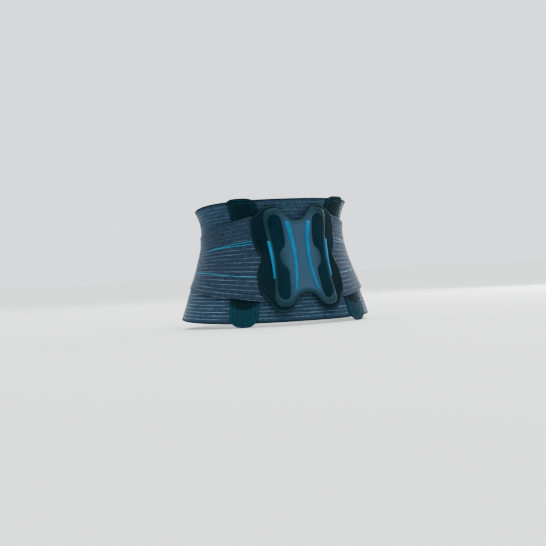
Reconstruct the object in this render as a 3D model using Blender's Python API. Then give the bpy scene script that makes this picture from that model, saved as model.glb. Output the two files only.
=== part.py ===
"""Lumbar support belt, worn: a knitted belt with two stays, a lumbar pad and two tension straps.

Frame: metres, +Z up. The origin is the centre of the waist that the belt goes round. The wearer's back
and the lumbar pad face -Y, the front closure faces +Y, and +X is the wearer's right.
Every piece lies on a shared torso form. Its place there is an angle (0 at the middle of the back,
positive to the wearer's right, 180 at the middle of the front), a height above the waist, and an
offset, the distance out from the torso along the torso's normal.
"""

import math

import bmesh
import bpy
import numpy as np
from mathutils import Matrix, Vector

MM = 0.001
GAP = 0.3 * MM

# The torso: half widths and depths at four heights, counted from the waist.
TORSO_HEIGHTS = (-0.145, -0.075, 0.0, 0.065)
HALF_WIDTHS = (0.172, 0.148, 0.1265, 0.1455)
BACK_DEPTHS = (0.126, 0.108, 0.091, 0.088)
FRONT_DEPTHS = (0.118, 0.100, 0.094, 0.101)

# The belt's edges: heights at the middle of the back, and how they change towards the front.
TOP_AT_BACK = 0.065
TOP_DROP = 0.028
BOTTOM_AT_BACK = -0.145
BOTTOM_RISE = 0.019
EDGING_HEIGHT = 1.8 * MM

# Facets: small enough that neighbouring layers on the curved torso keep their gap.
ROW_HEIGHT = 13 * MM
SLAB_CELL = 11 * MM
WIDE_COLUMN = 6.0
NARROW_COLUMN = 4.0

# Angles round the torso, in degrees.
FLANK_SEAM = 97.0
SEAM_HALF_GAP = 0.07
LEFT_END = 205.0
RIGHT_END = 196.0
OVERLAP_RAMP = (152.0, 161.0)

# Layers, as thicknesses out from the torso.
KNIT = 2.5 * MM
POCKET = 2.6 * MM
STRAP = 1.8 * MM
CARRIER = 2.5 * MM
PAD = 3.3 * MM
TROUGH = 0.7 * MM
RIB = 2.4 * MM
LANDING = 0.8 * MM
HOOK = 1.2 * MM
TAB = 2.0 * MM
GRIP = 2.4 * MM

# Stay pockets, centred on a line at one angle on each side of the spine.
POCKET_ANGLE = 39.0
POCKET_HALF_WIDTH = 24 * MM
POCKET_TOP = 0.068
POCKET_BOTTOM = -0.151
POCKET_TOP_ROUND = 9 * MM
POCKET_BOTTOM_ROUND = 18 * MM

# Stays: sprung blades with a soft tip at each end.
STAY_TOP = 0.056
STAY_BOTTOM = -0.136
STAY_WIDTH = 12 * MM
STAY_THICKNESS = 0.9 * MM
TIP_LENGTH = 7 * MM
TIP_PROUD = 0.3 * MM
STAY_ROOM = 2 * MM
STAY_SIDE_ROOM = 0.7 * MM
POCKET_FACE = 0.8 * MM

# Tension straps: height of each edge at a first angle, and its change with each degree.
STRAP_START = 20.0
STRAP_RAMP = (60.0, 92.0)
STRAP_TOP = (32.0, 0.0366, -0.00042)
STRAP_BOTTOM = (27.0, -0.110, 0.00035)
TAB_START = 122.0
TAB_END = 150.0
TAB_RAMP = (124.0, 130.0)

# Lumbar pad: half outlines as (across, up) points from the top of the spine line to its bottom.
CARRIER_HALF = (
    (0, 27), (9, 29.5), (18, 36.5), (28, 47.5), (40, 52.5), (50, 51), (60, 46), (72, 36), (76.5, 24),
    (76.5, 5), (75, -12), (72, -25), (66.5, -38), (72.5, -51), (77.5, -67), (79, -85), (77, -98),
    (69, -110), (62, -122), (54, -129.5), (43, -131.5), (32, -127), (22.5, -117), (14.5, -105.5),
    (6, -101), (0, -100),
)
PAD_HALF = (
    (0, 25.3), (9, 27), (15, 32.2), (20.5, 39), (28, 46.3), (37.5, 48.8), (47, 47.5), (54, 43.5),
    (57, 35.5), (56, 20), (53.5, 0), (52, -30), (51.5, -55), (52.5, -78), (55, -96), (56.8, -110),
    (52, -119), (42, -122), (31, -120.3), (23.5, -114.5), (16, -105), (8, -100.5), (0, -99.3),
)
TROUGH_HALF = (
    (40, 37), (47, 34), (49.8, 24), (49, 8), (46.3, -8), (44.5, -25), (43.8, -40), (44.8, -58),
    (46.3, -76), (49.3, -92), (48.5, -103), (44, -109), (38, -110.5), (32.5, -107), (29, -95),
    (27, -78), (26, -65), (28, -57.5), (33, -52), (36.3, -46), (37, -39), (35.5, -31), (31.5, -25),
    (27, -20), (25.4, -11), (25.3, 0), (26.3, 14), (28.5, 28), (33, 35),
)

# Ribs: heights of their ends, distances from the spine line at the ends and half way, and end widths.
RIB_INNER = {
    "top": 24 * MM, "bottom": -95 * MM, "ends": 19.5 * MM, "middle": 12.3 * MM, "widths": (8 * MM, 4 * MM),
}
RIB_OUTER = {
    "top": -9 * MM, "bottom": -75 * MM, "ends": 51.5 * MM, "middle": 49.8 * MM, "widths": (6 * MM, 3.5 * MM),
}

# The foam behind the carrier: its width, bottom and top.
BACKING = (76 * MM, -0.094, 0.022)

# Front closure and grips.
LANDING_ANGLES = (158.0, 187.0)
HOOK_ANGLES = (174.0, 202.0)
CLOSURE_INSET = 12 * MM
GRIP_ANGLES = (197.5, 203.5)
GRIP_HALF_HEIGHT = 32 * MM
TAB_INSET = 5 * MM
TAB_HOOK_ANGLES = (131.0, 147.0)
TAB_GRIP_ANGLES = (143.5, 148.5)

COLOURS = {
    "belt_knit": ((0.045, 0.085, 0.140), 0.85, 0.0),
    "edging": ((0.010, 0.017, 0.027), 0.80, 0.0),
    "strap_knit": ((0.040, 0.075, 0.120), 0.85, 0.0),
    "pocket_fabric": ((0.008, 0.036, 0.048), 0.75, 0.0),
    "spring_steel": ((0.45, 0.46, 0.48), 0.35, 1.0),
    "tip_plastic": ((0.02, 0.02, 0.02), 0.50, 0.0),
    "carrier_moulding": ((0.006, 0.020, 0.027), 0.45, 0.0),
    "backing_foam": ((0.012, 0.012, 0.014), 0.90, 0.0),
    "pad_foam": ((0.050, 0.095, 0.140), 0.60, 0.0),
    "trough_rubber": ((0.008, 0.030, 0.038), 0.55, 0.0),
    "rib_silicone": ((0.020, 0.260, 0.460), 0.40, 0.0),
    "hook_tape": ((0.012, 0.014, 0.018), 0.90, 0.0),
    "loop_velour": ((0.018, 0.024, 0.036), 0.95, 0.0),
    "grip_rubber": ((0.010, 0.040, 0.055), 0.50, 0.0),
}


# ---- The torso form ----

def torso_profile(height, values):
    """A torso measure at a height: the cubic through its four driving values."""
    return np.polyval(np.polyfit(TORSO_HEIGHTS, values, 3), height)


def torso_slope(height, values):
    """How fast that measure changes with height."""
    return np.polyval(np.polyder(np.polyfit(TORSO_HEIGHTS, values, 3)), height)


def on_torso(angle, height, offset):
    """Points at angle (degrees), height and offset: an ellipse at each height, moved out along its normal."""
    angle, height, offset = np.broadcast_arrays(*(np.asarray(v, float) for v in (angle, height, offset)))
    sine, cosine = np.sin(np.radians(angle)), np.cos(np.radians(angle))
    back = cosine > 0
    wide, wide_slope = torso_profile(height, HALF_WIDTHS), torso_slope(height, HALF_WIDTHS)
    deep = np.where(back, torso_profile(height, BACK_DEPTHS), torso_profile(height, FRONT_DEPTHS))
    deep_slope = np.where(back, torso_slope(height, BACK_DEPTHS), torso_slope(height, FRONT_DEPTHS))
    normal = np.stack([
        deep * sine,
        -wide * cosine,
        -wide * deep_slope * cosine**2 - wide_slope * deep * sine**2,
    ], -1)
    normal /= np.linalg.norm(normal, axis=-1, keepdims=True)
    surface = np.stack([wide * sine, -deep * cosine, height], -1)
    return surface + normal * offset[..., None]


ARC_ANGLES = np.linspace(-240, 240, 961)
ARC_HEIGHTS = np.linspace(-0.17, 0.09, 53)
ARC_POINTS = on_torso(ARC_ANGLES[None, :], ARC_HEIGHTS[:, None], 0.0)
ARC_STEPS = np.linalg.norm(np.diff(ARC_POINTS, axis=1), axis=-1)
ARC_LENGTHS = np.concatenate([np.zeros((53, 1)), np.cumsum(ARC_STEPS, axis=1)], axis=1)
ARC_LENGTHS -= ARC_LENGTHS[:, 480:481]


def angle_across(across, height, centre=0.0):
    """The angle of a point that lies `across` metres round the torso from the line at the centre angle."""
    found = np.empty(len(across))
    row = np.interp(height, ARC_HEIGHTS, np.arange(len(ARC_HEIGHTS)))
    for i, (distance, place) in enumerate(zip(across, row)):
        low = min(int(place), len(ARC_HEIGHTS) - 2)
        lengths = ARC_LENGTHS[low] + (ARC_LENGTHS[low + 1] - ARC_LENGTHS[low]) * (place - low)
        found[i] = np.interp(np.interp(centre, ARC_ANGLES, lengths) + distance, lengths, ARC_ANGLES)
    return found


def smooth(value, start, end):
    """0 before start, 1 after end, and an even S between them."""
    share = np.clip((np.asarray(value, float) - start) / (end - start), 0, 1)
    return share * share * (3 - 2 * share)


def front_share(angle):
    return ((1 - np.cos(np.radians(angle))) / 2) ** 1.5


def top_edge(angle):
    return TOP_AT_BACK - TOP_DROP * front_share(angle)


def bottom_edge(angle):
    return BOTTOM_AT_BACK + BOTTOM_RISE * front_share(angle)


def strap_top(angle):
    return STRAP_TOP[1] + STRAP_TOP[2] * np.maximum(np.abs(angle) - STRAP_TOP[0], 0)


def strap_bottom(angle):
    return STRAP_BOTTOM[1] + STRAP_BOTTOM[2] * np.maximum(np.abs(angle) - STRAP_BOTTOM[0], 0)


def flat_lift(angle):
    return 0.0 * np.asarray(angle)


def over_pocket(angle):
    """A strap runs level over the stay pocket, then eases down to the belt before the flank seam."""
    return (POCKET + GAP) * (1 - smooth(np.abs(angle), *STRAP_RAMP))


def over_right_end(angle):
    """The left end closes over the right one, so it rises by the layers between them."""
    return (KNIT + LANDING + HOOK + 3 * GAP) * smooth(np.abs(angle), *OVERLAP_RAMP)


def over_hook(angle):
    """A tab rises over the hook tape on its underside."""
    return (HOOK + GAP) * smooth(np.abs(angle), *TAB_RAMP)


# ---- Making pieces ----

def material(name):
    colour, roughness, metallic = COLOURS[name]
    made = bpy.data.materials.get(name)
    if made is None:
        made = bpy.data.materials.new(name)
        made.use_nodes = True
        shader = made.node_tree.nodes["Principled BSDF"]
        shader.inputs["Base Color"].default_value = (*colour, 1)
        shader.inputs["Roughness"].default_value = roughness
        shader.inputs["Metallic"].default_value = metallic
        made.diffuse_color = (*colour, 1)
    return made


def add_piece(name, mesh, finish, hinge=None):
    """Turns a closed bmesh into a named object, faces out, that hangs on a hinge where it moves."""
    bmesh.ops.triangulate(mesh, faces=mesh.faces)
    bmesh.ops.recalc_face_normals(mesh, faces=mesh.faces)
    data = bpy.data.meshes.new(name)
    mesh.to_mesh(data)
    mesh.free()
    data.set_sharp_from_angle(angle=math.radians(40))
    data.materials.append(material(finish))
    piece = bpy.data.objects.new(name, data)
    bpy.context.collection.objects.link(piece)
    if hinge:
        piece.parent = hinge
        piece.matrix_parent_inverse = hinge.matrix_world.inverted()
    return piece


def wall(name, finish, angles, edges, layer, column=NARROW_COLUMN, side=1, lift=flat_lift, hinge=None):
    """A piece between two angles and two edges, from layer[0] to layer[1] out from the torso.

    Its grid has a face for each column and row, inside and out, and four narrow sides close it.
    """
    columns = max(1, round((angles[1] - angles[0]) / column))
    tallest = max(edges[1](a) - edges[0](a) for a in angles)
    rows = math.ceil(tallest / ROW_HEIGHT)
    angle = np.linspace(angles[0], angles[1], columns + 1)[:, None] * side
    share = np.linspace(0, 1, rows + 1)[None, :]
    low, high = edges[0](angle), edges[1](angle)
    height = low + (high - low) * share
    angle = angle + 0 * height
    raised = lift(angle)
    mesh = bmesh.new()
    sheets = []
    for offset in layer:
        points = on_torso(angle, height, offset + raised)
        sheets.append([[mesh.verts.new(p) for p in line] for line in points])
    inner, outer = sheets
    for grid in sheets:
        for i in range(columns):
            for j in range(rows):
                mesh.faces.new((grid[i][j], grid[i + 1][j], grid[i + 1][j + 1], grid[i][j + 1]))
    for i in range(columns):
        for j in (0, rows):
            mesh.faces.new((inner[i][j], inner[i + 1][j], outer[i + 1][j], outer[i][j]))
    for j in range(rows):
        for i in (0, columns):
            mesh.faces.new((inner[i][j], inner[i][j + 1], outer[i][j + 1], outer[i][j]))
    return add_piece(name, mesh, finish, hinge)


def slab(name, finish, outline, layer, centre=0.0):
    """A flat outline of (across, up) points, made thick and then bent round the torso.

    Cuts along both directions, one cell apart, let the flat faces follow the curve.
    """
    mesh = bmesh.new()
    face = mesh.faces.new([mesh.verts.new((x, y, 0)) for x, y in outline])
    raised = bmesh.ops.extrude_face_region(mesh, geom=[face])["geom"]
    lid = [v for v in raised if isinstance(v, bmesh.types.BMVert)]
    bmesh.ops.translate(mesh, verts=lid, vec=(0, 0, 1))
    flat = np.array(outline)
    for axis, normal in enumerate(((1, 0, 0), (0, 1, 0))):
        low, high = flat[:, axis].min(), flat[:, axis].max()
        count = max(1, round((high - low) / SLAB_CELL))
        for place in np.linspace(low, high, count + 1)[1:-1]:
            at = Vector(normal) * float(place)
            everything = [*mesh.verts, *mesh.edges, *mesh.faces]
            bmesh.ops.bisect_plane(mesh, geom=everything, dist=1e-6, plane_co=at, plane_no=normal)
    bmesh.ops.triangulate(mesh, faces=mesh.faces)
    points = np.array([v.co for v in mesh.verts])
    angle = angle_across(points[:, 0], points[:, 1], centre)
    offset = layer[0] + (layer[1] - layer[0]) * points[:, 2]
    for vert, point in zip(mesh.verts, on_torso(angle, points[:, 1], offset)):
        vert.co = point
    return add_piece(name, mesh, finish)


def through(points, steps=3):
    """A smooth closed line through the points: a Catmull-Rom spline with `steps` spans between two points."""
    points = np.array(points, float)
    line = []
    for i in range(len(points)):
        a, b, c, d = (points[(i + k) % len(points)] for k in (-1, 0, 1, 2))
        for t in np.arange(steps) / steps:
            bend, twist = 2 * a - 5 * b + 4 * c - d, 3 * b - a - 3 * c + d
            line.append(0.5 * (2 * b + (c - a) * t + bend * t**2 + twist * t**3))
    return np.array(line)


def both_sides(half):
    """The full outline of a symmetric piece from its half outline in millimetres."""
    mirrored = [(-x, y) for x, y in reversed(half[1:-1])]
    return through([*half, *mirrored], steps=2) * MM


def pocket_outline(shrink=0.0):
    """A long strip with a softly rounded top and a deep round bottom, as (across, up) points."""
    half = POCKET_HALF_WIDTH - shrink
    right = []
    for turn in np.linspace(0, 90, 7):
        sine, cosine = math.sin(math.radians(turn)), math.cos(math.radians(turn))
        right.append((half * sine**0.6, POCKET_TOP - shrink - POCKET_TOP_ROUND * (1 - cosine)))
    for turn in np.linspace(90, 0, 9):
        sine, cosine = math.sin(math.radians(turn)), math.cos(math.radians(turn))
        right.append((half * sine**0.8, POCKET_BOTTOM + shrink + POCKET_BOTTOM_ROUND * (1 - cosine)))
    left = [(-x, y) for x, y in reversed(right[1:-1])]
    return right + left


def bar_outline(width, bottom, top):
    """A straight bar with cut corners."""
    half, corner = width / 2, width / 5
    return [
        (half - corner, top), (half, top - corner), (half, bottom + corner), (half - corner, bottom),
        (-half + corner, bottom), (-half, bottom + corner), (-half, top - corner), (-half + corner, top),
    ]


def rib_outline(rib, side, steps=14):
    """A bowed rib that tapers downwards: its centre is a parabola, nearest the spine at mid height."""
    share = np.linspace(0, 1, steps + 1)
    up = rib["top"] + (rib["bottom"] - rib["top"]) * share
    centre = rib["middle"] + (rib["ends"] - rib["middle"]) * (2 * share - 1) ** 2
    half = (rib["widths"][0] + (rib["widths"][1] - rib["widths"][0]) * share) / 2
    half = half * np.sqrt(np.clip(1 - (2 * share - 1) ** 12, 0.15, 1))
    outer = np.stack([(centre + half) * side, up], -1)
    inner = np.stack([(centre - half) * side, up], -1)
    return [*outer, *inner[::-1]]


def hinge_at(name, angle, heights, offset, parent=None):
    """An empty on the line through the points at that angle and offset at two heights, its Z along it."""
    low, high = (Vector(on_torso(angle, h, offset)) for h in heights)
    hinge = bpy.data.objects.new(name, None)
    bpy.context.collection.objects.link(hinge)
    turn = (high - low).to_track_quat("Z", "Y").to_matrix().to_4x4()
    hinge.matrix_world = Matrix.Translation((low + high) / 2) @ turn
    if parent:
        hinge.parent = parent
        hinge.matrix_parent_inverse = parent.matrix_world.inverted()
    bpy.context.view_layer.update()
    return hinge


# ---- The sub-parts ----

def below_edging(angle):
    return top_edge(angle) - EDGING_HEIGHT - GAP


def above_edging(angle):
    return bottom_edge(angle) + EDGING_HEIGHT + GAP


def add_knit(name, angles, side=1, lift=flat_lift, hinge=None):
    """One knitted panel of the belt with the narrow edging along its top and bottom."""
    layer = (0, KNIT)
    edges = (above_edging, below_edging)
    wall(name + "_panel", "belt_knit", angles, edges, layer, WIDE_COLUMN, side, lift, hinge)
    trims = {
        "top": (lambda a: top_edge(a) - EDGING_HEIGHT, top_edge),
        "bottom": (bottom_edge, lambda a: bottom_edge(a) + EDGING_HEIGHT),
    }
    for place, edges in trims.items():
        wall(f"{name}_{place}_edging", "edging", angles, edges, layer, WIDE_COLUMN, side, lift, hinge)


def add_stay(side, name):
    """A stay in its pocket: the pocket is hollowed from the inside, and holds the blade and its two tips."""
    low = KNIT + GAP
    centre = side * POCKET_ANGLE
    pocket = slab(name + "_stay_pocket", "pocket_fabric", pocket_outline(), (low, low + POCKET), centre)
    reach = TIP_LENGTH + STAY_ROOM
    hollow = bar_outline(STAY_WIDTH + 2 * STAY_SIDE_ROOM, STAY_BOTTOM - reach, STAY_TOP + reach)
    hollow_layer = (low - 1 * MM, low + POCKET - POCKET_FACE)
    cutter = slab(name + "_stay_hollow", "tip_plastic", hollow, hollow_layer, centre)
    cutter.hide_render = True
    cutter.display_type = "WIRE"
    cut = pocket.modifiers.new("stay hollow", "BOOLEAN")
    cut.object = cutter
    cut.operation = "DIFFERENCE"
    stay_low = low + GAP
    stay_high = stay_low + STAY_THICKNESS
    blade = bar_outline(STAY_WIDTH, STAY_BOTTOM, STAY_TOP)
    slab(name + "_stay", "spring_steel", blade, (stay_low, stay_high), centre)
    tip_layer = (stay_low, stay_high + TIP_PROUD)
    for place, bottom in (("upper", STAY_TOP + GAP), ("lower", STAY_BOTTOM - GAP - TIP_LENGTH)):
        tip = bar_outline(STAY_WIDTH + 2 * TIP_PROUD, bottom, bottom + TIP_LENGTH)
        slab(f"{name}_{place}_stay_tip", "tip_plastic", tip, tip_layer, centre)


def add_lumbar_pad():
    """The pad: a moulded carrier, the soft body on it, a trough insert in each column and four ribs."""
    low = KNIT + GAP
    strap_low = low + POCKET + GAP
    backing = bar_outline(*BACKING)
    slab("pad_backing", "backing_foam", backing, (low, strap_low + STRAP))
    low = strap_low + STRAP + GAP
    slab("pad_carrier", "carrier_moulding", both_sides(CARRIER_HALF), (low, low + CARRIER))
    low += CARRIER + GAP
    slab("pad_body", "pad_foam", both_sides(PAD_HALF), (low, low + PAD))
    low += PAD + GAP
    for side, name in ((-1, "left"), (1, "right")):
        trough = through(TROUGH_HALF, steps=2) * MM * (side, 1)
        slab(name + "_trough", "trough_rubber", trough, (low, low + TROUGH))
        for place, rib in (("inner", RIB_INNER), ("outer", RIB_OUTER)):
            slab(f"{name}_{place}_rib", "rib_silicone", rib_outline(rib, side), (low, low + RIB))


def add_strap(side, name, wing, tab):
    """A tension strap in three lengths: on the back, on the wing, and the tab that peels off the front."""
    low = KNIT + GAP
    edges = (strap_bottom, strap_top)
    layer = (low, low + STRAP)
    rear = (STRAP_START, FLANK_SEAM - SEAM_HALF_GAP)
    front = (FLANK_SEAM + SEAM_HALF_GAP, TAB_START - SEAM_HALF_GAP)
    wall(name + "_rear_strap", "strap_knit", rear, edges, layer, NARROW_COLUMN, side, over_pocket)
    wall(name + "_front_strap", "strap_knit", front, edges, layer, NARROW_COLUMN, side, hinge=wing)
    angles = (TAB_START + SEAM_HALF_GAP, TAB_END)
    wall(name + "_tab", "strap_knit", angles, edges, (low, low + TAB), NARROW_COLUMN, side, over_hook, tab)
    inset = (lambda a: strap_bottom(a) + TAB_INSET, lambda a: strap_top(a) - TAB_INSET)
    hook_layer = (low, low + HOOK)
    wall(name + "_tab_hook", "hook_tape", TAB_HOOK_ANGLES, inset, hook_layer, NARROW_COLUMN, side, hinge=tab)
    low += HOOK + TAB + 2 * GAP
    layer = (low, low + GRIP)
    wall(name + "_tab_grip", "grip_rubber", TAB_GRIP_ANGLES, inset, layer, NARROW_COLUMN, side, hinge=tab)


def add_closure(left_wing, right_wing):
    """Loop velour on the right end, hook tape inside the left end, and a grip outside it to pull."""
    inset = (lambda a: bottom_edge(a) + CLOSURE_INSET, lambda a: top_edge(a) - CLOSURE_INSET)
    low = KNIT + GAP
    layer = (low, low + LANDING)
    wall("right_closure_landing", "loop_velour", LANDING_ANGLES, inset, layer, hinge=right_wing)
    low += LANDING + GAP
    wall("left_closure_hook", "hook_tape", HOOK_ANGLES, inset, (low, low + HOOK), side=-1, hinge=left_wing)
    low += HOOK + KNIT + 2 * GAP
    middle = (top_edge(LEFT_END) + bottom_edge(LEFT_END)) / 2
    grip = (lambda a: middle - GRIP_HALF_HEIGHT + 0 * a, lambda a: middle + GRIP_HALF_HEIGHT + 0 * a)
    wall("left_closure_grip", "grip_rubber", GRIP_ANGLES, grip, (low, low + GRIP), side=-1, hinge=left_wing)


def main():
    for old in list(bpy.data.objects):
        bpy.data.objects.remove(old)
    back_end = FLANK_SEAM - SEAM_HALF_GAP
    add_knit("back", (-back_end, back_end))
    ends = {"left": (-1, LEFT_END, over_right_end), "right": (1, RIGHT_END, flat_lift)}
    wings = {}
    for name, (side, end, lift) in ends.items():
        seam_heights = (bottom_edge(FLANK_SEAM), top_edge(FLANK_SEAM))
        wing = hinge_at(name + "_wing_hinge", side * FLANK_SEAM, seam_heights, KNIT + 1 * MM)
        tab_heights = (strap_bottom(TAB_START), strap_top(TAB_START))
        tab = hinge_at(name + "_tab_hinge", side * TAB_START, tab_heights, KNIT + TAB + 1 * MM, wing)
        wings[name] = wing
        add_knit(name + "_front", (FLANK_SEAM + SEAM_HALF_GAP, end), side, lift, wing)
        add_stay(side, name)
        add_strap(side, name, wing, tab)
    add_closure(wings["left"], wings["right"])
    add_lumbar_pad()
    bpy.context.view_layer.update()


main()
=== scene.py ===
# %% [markdown]
# # Lumbar support belt
# The real belt is a wide elastic knit that goes round the waist. Two stays in pockets stiffen its back, a
# moulded pad lies over the spine, and a tension strap on each side pulls the pad inwards. The frame holds
# the plain solids of these pieces and how they move. This lesson makes the cloth, the mouldings and the
# threads that the eye sees, each in the place that its plain solid holds.

import math

import bpy
import numpy as np
from mathutils import Matrix, Vector


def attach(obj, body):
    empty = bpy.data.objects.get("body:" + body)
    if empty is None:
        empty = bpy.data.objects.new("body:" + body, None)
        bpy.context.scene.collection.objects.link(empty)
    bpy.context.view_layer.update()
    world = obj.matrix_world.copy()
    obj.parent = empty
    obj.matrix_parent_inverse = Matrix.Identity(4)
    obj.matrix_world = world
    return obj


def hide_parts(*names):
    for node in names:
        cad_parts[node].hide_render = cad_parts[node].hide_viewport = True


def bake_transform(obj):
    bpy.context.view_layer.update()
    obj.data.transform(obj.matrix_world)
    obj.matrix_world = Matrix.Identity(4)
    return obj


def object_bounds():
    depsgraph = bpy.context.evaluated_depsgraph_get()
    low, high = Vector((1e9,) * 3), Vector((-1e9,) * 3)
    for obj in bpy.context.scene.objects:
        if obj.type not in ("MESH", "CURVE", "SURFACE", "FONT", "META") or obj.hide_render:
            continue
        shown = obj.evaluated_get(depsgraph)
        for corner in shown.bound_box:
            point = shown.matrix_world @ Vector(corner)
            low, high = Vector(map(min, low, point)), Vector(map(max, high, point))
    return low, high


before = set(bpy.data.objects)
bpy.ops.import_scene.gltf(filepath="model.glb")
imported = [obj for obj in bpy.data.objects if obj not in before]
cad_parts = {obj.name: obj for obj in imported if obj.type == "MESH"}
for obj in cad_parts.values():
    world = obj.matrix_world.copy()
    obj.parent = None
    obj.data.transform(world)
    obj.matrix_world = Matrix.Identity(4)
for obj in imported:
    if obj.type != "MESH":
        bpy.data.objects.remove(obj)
CAD_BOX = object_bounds()
MM = 0.001

# %% [markdown]
# ## Camera, floor and light
# The belt is seen from behind and a little from the wearer's left, level with the waist. A long lens from
# over two metres keeps the verticals straight. Large area lights give knitted cloth soft shadows, and the
# rim lights draw a bright line down each flank. A wide soft sun overhead makes the pale floor bright. The
# world has two strengths: strong where the camera sees it, so that it blends into the floor, and weak as a
# light, so that it doesn't turn the dark pieces grey.

# %% Place the camera
LOOK_AT = Vector((0.0, 0.0, -0.040))
AROUND, RISE, ROLL = math.radians(26.3), math.radians(-0.3), math.radians(-2.94)
DISTANCE, LENS, LENS_SHIFT = 2.2746, 84.64, -0.0228
side = Vector((-math.sin(AROUND) * math.cos(RISE), -math.cos(AROUND) * math.cos(RISE), math.sin(RISE)))
camera = bpy.data.objects.new("camera", bpy.data.cameras.new("camera"))
camera.data.lens = LENS
camera.data.shift_y = LENS_SHIFT
turn = side.to_track_quat("Z", "Y").to_matrix() @ Matrix.Rotation(ROLL, 3, "Z")
camera.matrix_world = Matrix.Translation(LOOK_AT + side * DISTANCE) @ turn.to_4x4()
bpy.context.collection.objects.link(camera)
bpy.context.scene.camera = camera
print("camera at", [round(v, 3) for v in camera.matrix_world.translation])

# %% Light the studio
def add_light(name, around, rise, distance, size, power):
    """A square area light on a sphere round the belt, turned to its middle."""
    light = bpy.data.lights.new(name, "AREA")
    light.size, light.energy = size, power
    lamp = bpy.data.objects.new(name, light)
    turn, up = math.radians(around), math.radians(rise)
    aim = Vector((math.sin(turn) * math.cos(up), -math.cos(turn) * math.cos(up), math.sin(up)))
    facing = aim.to_track_quat("Z", "Y").to_matrix().to_4x4()
    lamp.matrix_world = Matrix.Translation(LOOK_AT + aim * distance) @ facing
    bpy.context.collection.objects.link(lamp)


# Degrees round and up, distance and size in metres, watts.
LIGHTS = {
    "key_light": (24, 42, 2.2, 1.0, 13),
    "left_light": (-78, 50, 2.2, 1.0, 5),
    "left_rim_light": (-125, 20, 2.0, 0.8, 6),
    "right_rim_light": (118, 14, 2.0, 0.8, 34),
    "front_light": (170, 35, 2.2, 1.2, 16),
}
SUN_WIDTH, SUN_STRENGTH = math.radians(75), 5.6
WORLD_COLOUR, WORLD_STRENGTH, FLOOR_BRIGHTNESS = (0.88, 0.95, 1.0, 1), 0.30, 2.0
for name, facts in LIGHTS.items():
    add_light(name, *facts)
overhead = bpy.data.lights.new("overhead_light", "SUN")
overhead.angle, overhead.energy = SUN_WIDTH, SUN_STRENGTH
bpy.context.collection.objects.link(bpy.data.objects.new("overhead_light", overhead))
world = bpy.data.worlds.new("studio")
world.use_nodes = True
backdrop = world.node_tree.nodes["Background"]
backdrop.inputs["Color"].default_value = WORLD_COLOUR
seen = world.node_tree.nodes.new("ShaderNodeLightPath")
strength = world.node_tree.nodes.new("ShaderNodeMapRange")
strength.inputs["To Min"].default_value = WORLD_STRENGTH
strength.inputs["To Max"].default_value = FLOOR_BRIGHTNESS
world.node_tree.links.new(seen.outputs["Is Camera Ray"], strength.inputs["Value"])
world.node_tree.links.new(strength.outputs[0], backdrop.inputs["Strength"])
bpy.context.scene.world = world
print(len(LIGHTS) + 1, "lights")

# %% [markdown]
# ## The torso form
# Every layer of a worn belt copies the body under it. So the body is one formula: an ellipse at each height
# whose half width and depth follow smooth curves through four measures. A point of the belt is then an angle
# round the waist, a height and a distance out from the body, and layers that share the formula never cross.

# %% Measures of the torso
TORSO_HEIGHTS = (-0.145, -0.075, 0.0, 0.065)
HALF_WIDTHS = (0.172, 0.148, 0.1265, 0.1455)
BACK_DEPTHS = (0.126, 0.108, 0.091, 0.088)
FRONT_DEPTHS = (0.118, 0.100, 0.094, 0.101)


def torso_profile(height, values):
    """A torso measure at a height: the cubic through its four driving values."""
    return np.polyval(np.polyfit(TORSO_HEIGHTS, values, 3), height)


def torso_slope(height, values):
    """How fast that measure changes with height: the derivative of the cubic."""
    return np.polyval(np.polyder(np.polyfit(TORSO_HEIGHTS, values, 3)), height)


def on_torso(angle, height, offset):
    """Points at angle (degrees), height and offset: an ellipse at each height, moved out along its normal."""
    angle, height, offset = np.broadcast_arrays(*(np.asarray(v, float) for v in (angle, height, offset)))
    sine, cosine = np.sin(np.radians(angle)), np.cos(np.radians(angle))
    back = cosine > 0
    wide, wide_slope = torso_profile(height, HALF_WIDTHS), torso_slope(height, HALF_WIDTHS)
    deep = np.where(back, torso_profile(height, BACK_DEPTHS), torso_profile(height, FRONT_DEPTHS))
    deep_slope = np.where(back, torso_slope(height, BACK_DEPTHS), torso_slope(height, FRONT_DEPTHS))
    normal = np.stack([
        deep * sine,
        -wide * cosine,
        -wide * deep_slope * cosine**2 - wide_slope * deep * sine**2,
    ], -1)
    normal /= np.linalg.norm(normal, axis=-1, keepdims=True)
    surface = np.stack([wide * sine, -deep * cosine, height], -1)
    return surface + normal * offset[..., None]


print("waist", 2 * HALF_WIDTHS[2], "m wide and", BACK_DEPTHS[2] + FRONT_DEPTHS[2], "m deep")

# %% Distances round the torso
ARC_ANGLES = np.linspace(-240, 240, 961)
ARC_HEIGHTS = np.linspace(-0.17, 0.09, 53)
ARC_PLACES = np.linspace(-0.64, 0.64, 1281)
ring_points = on_torso(ARC_ANGLES[None, :], ARC_HEIGHTS[:, None], 0.0)
ring_steps = np.linalg.norm(np.diff(ring_points, axis=1), axis=-1)
ARC_LENGTHS = np.concatenate([np.zeros((len(ARC_HEIGHTS), 1)), np.cumsum(ring_steps, axis=1)], axis=1)
ARC_LENGTHS -= ARC_LENGTHS[:, [len(ARC_ANGLES) // 2]]
ANGLE_TABLE = np.stack([np.interp(ARC_PLACES, lengths, ARC_ANGLES) for lengths in ARC_LENGTHS])


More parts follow.
